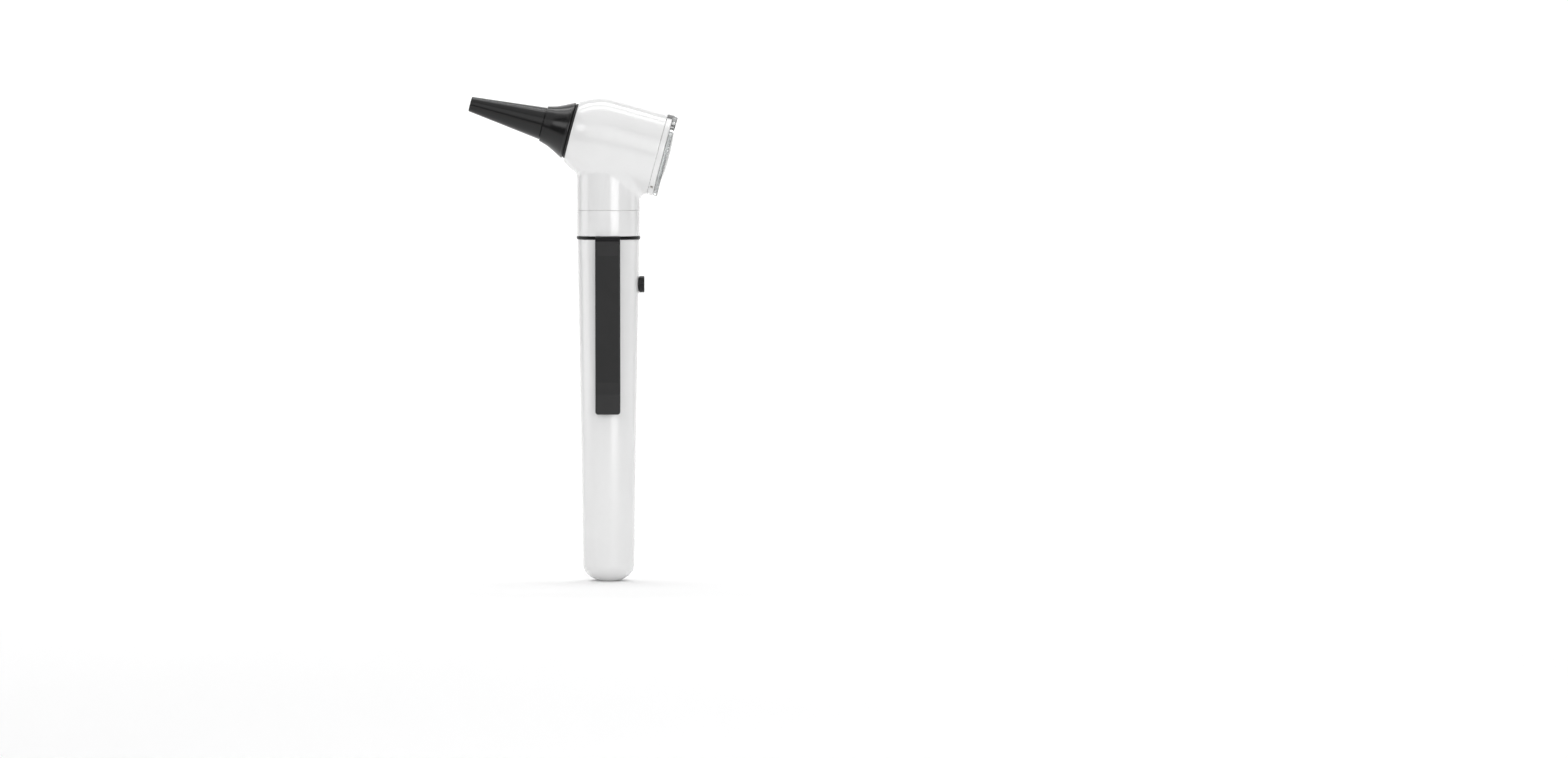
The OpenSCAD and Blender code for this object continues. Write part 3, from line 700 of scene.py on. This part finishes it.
def head_shell():
    """The barrel and neck in one moulding, hollow, open at the front, the back and the neck."""
    form = HeadForm()
    shell = lathe("head_casing", form.outline, HEAD, 128)
    join(shell, rod("neck", NECK_R, SEAM - 2, HEAD_CENTRE.z, segments=128),
         rod("boss", form.boss_r, 0, form.boss_reach,
             HEAD @ Matrix.Translation((0, 0, PORT_A)) @ Matrix.Rotation(math.pi / 2, 4, "X")))
    remesh = shell.modifiers.new("remesh", "REMESH")
    remesh.mode = "VOXEL"
    remesh.voxel_size = 0.34
    settle(shell)
    even_out(shell.data, form)
    flange = REAR - 1.95
    register_r = 10.4
    front_hole_r = 8.45
    cavity = lathe("cavity", [
        (0, FRONT - 1), (front_hole_r, FRONT - 1), (front_hole_r, FRONT + WALL),
        *barrel_outline(WALL, FRONT + WALL, flange), (register_r, flange + 0.3),
        (register_r, REAR + 2), (0, REAR + 2)], HEAD, 96)
    neck_bore = rod("neck_bore", NECK_R - WALL, SEAM - 3, HEAD_CENTRE.z - 4, segments=96)
    cut(shell, cavity, neck_bore, *rear_cutters(),
        rod("port_hole", 1.55, 5, 20,
            HEAD @ Matrix.Translation((0, 0, PORT_A)) @ Matrix.Rotation(math.pi / 2, 4, "X")))
    return shell


def rear_cutters():
    """The hinge pocket, open at the top, the pivot's hole and the screw holes."""
    pocket_r = 2.35
    pocket_a = BEZEL_FRONT + 0.45
    place_pivot = HEAD @ Matrix.Translation((PIVOT_UP, 0, 0))
    steps = 24
    shape = [(pocket_r * math.cos(math.radians(90 + 180 * k / steps)),
              pocket_r * math.sin(math.radians(90 + 180 * k / steps))) for k in range(steps + 1)]
    shape += [(6, -pocket_r), (6, pocket_r)]
    cutters = [prism("pocket", shape, pocket_a, pocket_a + 4, place_pivot),
               rod("pivot_hole", 1.02, REAR - 4, pocket_a + 1, place_pivot)]
    for side in (-1, 1):
        cutters.append(rod("screw_hole", 0.68, 10.5, 16, screw_place(side), 32))
    return cutters


def screw_place(side, angle=38):
    """Local Z runs out through the bezel, at an angle from its lowest point."""
    turn = Matrix.Rotation(math.radians(180 + side * angle), 4, "Z")
    middle_a = (BEZEL_FRONT + BEZEL_REAR) / 2
    return HEAD @ Matrix.Translation((0, 0, middle_a)) @ turn @ Matrix.Rotation(math.pi / 2, 4, "Y")


# ---------------------------------------------------------------- head pieces

def neck_collar():
    low, high = corners("neck_collar")
    sleeve_high = corners("threaded_sleeve")[1]
    bore_r = 7.65
    register_r = NECK_R - WALL - 0.05
    return lathe("collar", soften([
        (sleeve_high.x + 0.05, low.z), (NECK_R, low.z, 0.25), (NECK_R, SEAM - 0.05, 0.2),
        (register_r, SEAM - 0.05), (register_r, high.z, 0.3), (bore_r, high.z),
        (bore_r, sleeve_high.z + 0.05), (sleeve_high.x + 0.05, sleeve_high.z + 0.05)], closed=True),
        segments=128, closed=True)


def threaded_sleeve():
    """The nickel-plated male thread under the neck."""
    low, high = corners("threaded_sleeve")
    bore_r = 7.65
    crest_r = 8.53
    root_r = 8.12
    thread_high = COLLAR_LOW - 1.3
    row_h = 0.09
    rows = int((thread_high - low.z - 0.5) / row_h)
    wall = [(root_r, low.z + 0.5 + k * row_h) for k in range(rows + 1)]
    outline = [(bore_r, low.z), (root_r - 0.35, low.z), *wall, (crest_r, thread_high + 0.1),
               (crest_r, COLLAR_LOW), (high.x, COLLAR_LOW), (high.x, high.z), (bore_r, high.z)]
    return lathe("screw_sleeve", outline, segments=96, closed=True,
                 reshape=threaded(root_r, crest_r, 1.5, low.z + 0.4, thread_high + 0.05))


def thread_ring():
    """The metal insert in the handle's mouth, with its inner thread."""
    low, high = corners("thread_ring")
    crest_r = 8.62
    root_r = 9.0
    row_h = 0.09
    rows = int((high.z - low.z - 1.0) / row_h)
    wall = [(root_r, high.z - 0.6 - k * row_h) for k in range(rows + 1)]
    outline = [(crest_r, low.z), (high.x, low.z), (high.x, high.z), (root_r + 0.1, high.z), *wall]
    return lathe("thread_insert", outline, segments=96, closed=True,
                 reshape=threaded(root_r, crest_r, 1.5, low.z + 0.3, high.z - 0.5))


def rear_ring(name):
    """The whole ring behind the shell, before it is split into bezel and hinge block."""
    lip_r = 9.6
    register_r = 11.25
    lip_a = BEZEL_FRONT + 0.95
    ring = lathe(name, soften([
        (register_r, BEZEL_FRONT), (BARREL_REAR_R, BEZEL_FRONT, 0.07),
        (BARREL_REAR_R, BEZEL_REAR, 0.4), (lip_r, BEZEL_REAR, 0.3), (lip_r, lip_a),
        (register_r, lip_a)], closed=True), HEAD, 128, closed=True)
    return cut(ring, *rear_cutters())


def rear_bezel():
    """The white ring, with a flat at the top for the hinge block."""
    return cut(rear_ring("bezel"), slab("top", (HINGE_FLAT - 0.05, -20, BEZEL_FRONT - 1),
                                        (20, 20, BEZEL_REAR + 1), HEAD))


def hinge_block():
    """The dark block let into the bezel's flat: two cheeks and a thin wall in front."""
    return cut(rear_ring("hinge_cheeks"), slab("rest", (-20, -20, BEZEL_FRONT - 1),
                                               (HINGE_FLAT, 20, BEZEL_REAR + 1), HEAD))


def lens_plate():
    """The clear plate: a hinge boss at the top, a bore for the magnifier and a recess for the pivot."""
    radius = corners("lens_plate")[1].y
    boss_r = 2.2
    boss_front = along_head("lens_plate")[0]
    magnifier_r = corners("magnifier_lens")[1].y
    place_pivot = HEAD @ Matrix.Translation((PIVOT_UP, 0, 0))
    plate = lathe("clear_plate", soften([
        (magnifier_r + 0.04, PLATE_FRONT), (radius, PLATE_FRONT, 0.2), (radius, PLATE_REAR, 0.35),
        (magnifier_r + 0.04, PLATE_REAR, 0.1)], closed=True, steps=4), HEAD, 128, closed=True)
    join(plate, lathe("boss", soften([(0, boss_front), (boss_r, boss_front, 0.2),
                                      (boss_r, PLATE_FRONT + 0.3), (0, PLATE_FRONT + 0.3)]),
                      place_pivot, 64))
    return cut(plate, rod("hole", 1.05, boss_front - 1, PLATE_REAR + 1, place_pivot, 48),
               rod("recess", 1.75, PLATE_REAR - 0.75, PLATE_REAR + 1, place_pivot, 64))


def magnifier():
    """A plano-convex lens, its curved face to the rear."""
    radius = corners("magnifier_lens")[1].y
    rear = along_head("magnifier_lens")[1]
    bulge = rear - PLATE_REAR
    ball_r = (radius ** 2 + bulge ** 2) / (2 * bulge)
    steps = 28
    cap = []
    for k in range(steps + 1):
        r = radius * (1 - k / steps)
        cap.append((r, rear - ball_r + math.sqrt(ball_r ** 2 - r ** 2)))
    return lathe("magnifier", [(0, PLATE_FRONT), (radius - 0.15, PLATE_FRONT),
                               (radius, PLATE_FRONT + 0.15), *cap], HEAD, 96)


def pivot_screw():
    """The pivot: a plain shank under a low slotted head."""
    front, rear = along_head("lens_pivot")
    place_pivot = HEAD @ Matrix.Translation((PIVOT_UP, 0, 0))
    head_r = 1.7
    head_t = 0.7
    screw = lathe("pivot_screw", soften([
        (0, front), (1.0, front, 0.2), (1.0, rear - head_t), (head_r, rear - head_t),
        (head_r, rear, 0.2), (0, rear)]), place_pivot, 64)
    return cut(screw, slab("slot", (-3, -0.2, rear - 0.35), (3, 0.2, rear + 1), place_pivot))


def bezel_screws():
    """Two small socket screws, let into the bezel's lower edge."""
    screws = None
    for side in (-1, 1):
        screw = lathe("bezel_pins", soften([
            (0, 10.6), (0.65, 10.6), (0.65, BARREL_REAR_R - 0.12, 0.12), (0.33, BARREL_REAR_R - 0.12),
            (0.33, BARREL_REAR_R - 0.6), (0, BARREL_REAR_R - 0.6)], steps=3), screw_place(side), 32)
        screws = join(screws, screw) if screws else screw
    return screws


def speculum():
    """The funnel: a straight cone, a small step, a flare to the rim and a rounded lip at the tip."""
    tip, rim = along_head("speculum")
    rim_r = corners("speculum")[1].y
    tip_r = 2.65
    bore_r = 2.0
    step_a = -23.65
    cone_end_r = 5.7
    flare = spline([(6.38, step_a + 0.7), (6.72, -21.8), (7.15, -20.4), (7.75, -19.0), (8.58, -17.3),
                    (9.36, -15.8), (rim_r - 0.3, -15.15)])
    inner_flare = spline([(9.15, rim - 0.35), (8.7, -15.6), (7.75, -17.4), (6.95, -19.4), (6.3, -21.0),
                          (5.55, -22.4), (4.95, -23.6)], 4)
    lip = [(bore_r, tip + 0.5), (bore_r, tip, 0.25), (tip_r, tip, 0.35), (tip_r + 0.06, tip + 0.8)]
    outside = soften([*lip, (cone_end_r, step_a - 0.12, 0.1), (cone_end_r - 0.1, step_a, 0.1),
                      (flare[0][0] - 0.03, step_a + 0.3, 0.25)], steps=6)
    bead = [(rim_r - 0.55 + 0.55 * math.cos(math.radians(angle)),
             -14.62 + 0.55 * math.sin(math.radians(angle))) for angle in range(-60, 91, 15)]
    back = soften([bead[-1], (9.3, rim, 0.1), (9.15, rim - 0.35)])
    outline = outside + flare + bead + back[1:] + inner_flare[1:] + [(4.2, -30.0)]
    return lathe("ear_funnel", outline, HEAD, 128, closed=True)


def speculum_mount():
    """The black nose that the speculum sits on, with two locking lugs."""
    tip, back = along_head("speculum_mount")
    flange_front = FRONT - 0.75
    bore_r = 7.0
    spigot_r = 8.4
    nose = lathe("nose_mount", soften([
        (3.85, tip), (4.2, tip, 0.1), (4.6, -24.0), (5.2, -22.4, 2.0), (6.2, -19.2, 2.0),
        (7.0, -17.0, 0.5), (7.6, -16.3, 0.5), (7.6, flange_front), (9.75, flange_front, 0.2),
        (9.75, FRONT - 0.05, 0.1), (spigot_r, FRONT - 0.05), (spigot_r, -12.85), (7.7, -12.85),
        (7.7, -12.05), (spigot_r, -12.05), (spigot_r, -11.6), (7.85, -11.6), (7.85, -10.8),
        (spigot_r, -10.8), (spigot_r, back), (bore_r, back), (bore_r, -13.55), (4.55, -16.0)],
        closed=True, steps=4), HEAD, 96, closed=True)
    for side in (-1, 1):
        turn = Matrix.Rotation(side * math.pi / 2, 4, "X")
        lug = lathe("lug", soften([(0, 6), (0.8, 6), (0.8, 8.5, 0.25), (0, 8.5)]),
                    HEAD @ Matrix.Translation((0, 0, -15.4)) @ turn, 32)
        join(nose, lug)
    return nose


def insufflation_port():
    """The small barbed nozzle on the far side."""
    high = corners("insufflation_port")[1]
    bore_r = 0.9
    pin_r = 1.75
    flange_y = HeadForm.boss_reach + 0.8
    outline = soften([
        (bore_r, 12.6), (1.5, 12.6), (1.5, HeadForm.boss_reach), (2.8, HeadForm.boss_reach, 0.1),
        (2.8, flange_y, 0.25), (1.45, flange_y, 0.3), (1.45, flange_y + 2.4, 0.2),
        (pin_r, flange_y + 2.4, 0.1), (pin_r, flange_y + 3.2, 0.6), (1.35, high.y, 0.2),
        (bore_r, high.y)], closed=True)
    turn = Matrix.Rotation(math.pi / 2, 4, "X")
    return lathe("port_nozzle", outline, HEAD @ Matrix.Translation((0, 0, PORT_A)) @ turn, 64,
                 closed=True)


# ---------------------------------------------------------------- the pieces in place

def build_pieces():
    place(handle(), "handle", WHITE, ["handle_tube"])
    place(thread_ring(), "handle", NICKEL, ["thread_ring"])
    place(switch_knob(), "switch", BLACK, ["switch_knob"])
    place(neck_collar(), "head", WHITE, ["neck_collar"])
    place(threaded_sleeve(), "head", NICKEL, ["threaded_sleeve"], 60)
    place(head_shell(), "head", WHITE, ["head_shell"], 40)
    place(rear_bezel(), "head", WHITE, ["rear_bezel"])
    place(hinge_block(), "head", GREY, ["hinge_block"])
    place(speculum_mount(), "head", INNER_BLACK, ["speculum_mount"])
    place(insufflation_port(), "head", NICKEL, ["insufflation_port"])
    place(bezel_screws(), "head", NICKEL, ["bezel_screws"])
    place(pivot_screw(), "head", DARK_NICKEL, ["lens_pivot"])
    place(lens_plate(), "lens", ACRYLIC, ["lens_plate"])
    place(magnifier(), "lens", GLASS, ["magnifier_lens"])
    place(speculum(), "speculum", SPECULUM, ["speculum"])
    clip_piece, (bend_high, bend_low) = clip()
    finish_mesh(clip_piece)
    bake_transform(clip_piece)
    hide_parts("clip_ring", "clip_leaf")


CAD_FINISHES = {
    "battery_lower": BATTERY, "battery_upper": BATTERY,
    "spring_plate": NICKEL, "battery_spring": STEEL_WIRE, "contact_spring": STEEL_WIRE,
    "conductor_strip": BRASS, "upper_contact_strip": BRASS, "switch_contact": BRASS,
    "centre_contact": BRASS, "lamp_base": BRASS, "lamp_holder": NICKEL,
    "switch_slider": BLACK, "contact_insulator": INNER_BLACK, "viewing_tube": INNER_BLACK,
    "lamp_glass": GLASS, "light_guide": FIBRE, "fibre_ring": FIBRE, "mount_seal": RUBBER,
    "mount_retaining_ring": NICKEL, "pivot_washer": NICKEL,
}


def finish_cad_nodes():
    for name, material in CAD_FINISHES.items():
        node = frame["nodes"][name]
        for index in range(len(node.material_slots)):
            node.material_slots[index].material = material
        if not node.material_slots:
            node.data.materials.append(material)


# ---------------------------------------------------------------- stage, light and camera

def stage():
    """A pale floor that curves up into a backdrop."""
    depth = 2.2
    radius = 0.9
    half_w = 4.0
    near = -0.85
    profile = [(near, 0.0), (depth - radius, 0.0)]
    steps = 24
    for k in range(1, steps + 1):
        angle = math.pi / 2 * k / steps
        profile.append((depth - radius + radius * math.sin(angle), radius * (1 - math.cos(angle))))
    profile.append((depth, 3.5))
    bm = bmesh.new()
    left = [bm.verts.new((-half_w, y, z)) for y, z in profile]
    right = [bm.verts.new((half_w, y, z)) for y, z in profile]
    for k in range(len(profile) - 1):
        bm.faces.new((left[k], right[k], right[k + 1], left[k + 1]))
    floor = object_from("studio_floor", bm)
    floor.data.shade_smooth()
    n = Nodes("studio_paper")
    n.link(n.blend(n.spread(n.noise(400, 2), 0, 1), (0.95, 0.95, 0.95), (0.965, 0.965, 0.965)),
           n.shader.inputs["Base Color"])
    n.set(Roughness=0.9)
    n.shader.inputs["Specular IOR Level"].default_value = 0.1
    floor.data.materials.append(n.material)


def area_light(name, position, target, width, height, power):
    data = bpy.data.lights.new(name, "AREA")
    data.shape = "RECTANGLE"
    data.size = width
    data.size_y = height
    data.energy = power
    light = bpy.data.objects.new(name, data)
    light.location = position
    light.rotation_euler = (Vector(target) - Vector(position)).to_track_quat("-Z", "Y").to_euler()
    bpy.context.scene.collection.objects.link(light)


def lights():
    aim = (0, 0, 0.11)
    area_light("key_front", (-0.35, -2.0, 1.0), aim, 2.2, 1.5, 10.5)
    area_light("strip_right", (0.62, -1.35, 0.3), (0, 0, 0.12), 0.75, 1.1, 8.5)
    area_light("softbox_front_left", (-1.4, -1.1, 1.05), aim, 0.6, 0.6, 3)
    area_light("softbox_left", (-1.6, 0.2, 0.2), aim, 1.0, 1.2, 5.5)
    area_light("softbox_far_right", (1.6, 0.4, 0.5), aim, 0.7, 1.2, 2.2)
    area_light("top_strip", (0, 0.12, 1.3), aim, 1.4, 0.2, 2.5)
    area_light("softbox_top", (0.06, -0.4, 1.9), (0.06, -0.3, 0), 2.6, 2.4, 13.5)
    area_light("backdrop_light", (0, 0.9, 2.0), (0, 2.2, 0.4), 3.0, 0.6, 36)
    world = bpy.data.worlds.new("studio")
    world.use_nodes = True
    background = world.node_tree.nodes["Background"]
    background.inputs["Color"].default_value = (1, 1, 1, 1)
    background.inputs["Strength"].default_value = 0.15
    bpy.context.scene.world = world


def camera():
    """A long lens, a little above the object, at the side that carries the clip."""
    frame_width = 0.549
    sensor = 36.0
    focal = 165.0
    elevation = math.radians(2.4)
    target = Vector((0.0614, 0, 0.0707))
    distance = frame_width * focal / sensor
    data = bpy.data.cameras.new("camera")
    data.lens = focal
    data.sensor_width = sensor
    view = bpy.data.objects.new("camera", data)
    view.location = target + distance * Vector((0, -math.cos(elevation), math.sin(elevation)))
    view.rotation_euler = (math.pi / 2 - elevation, 0, 0)
    bpy.context.scene.collection.objects.link(view)
    bpy.context.scene.camera = view
    bpy.context.scene.view_settings.view_transform = "Standard"


camera()
stage()
lights()
build_pieces()
finish_cad_nodes()
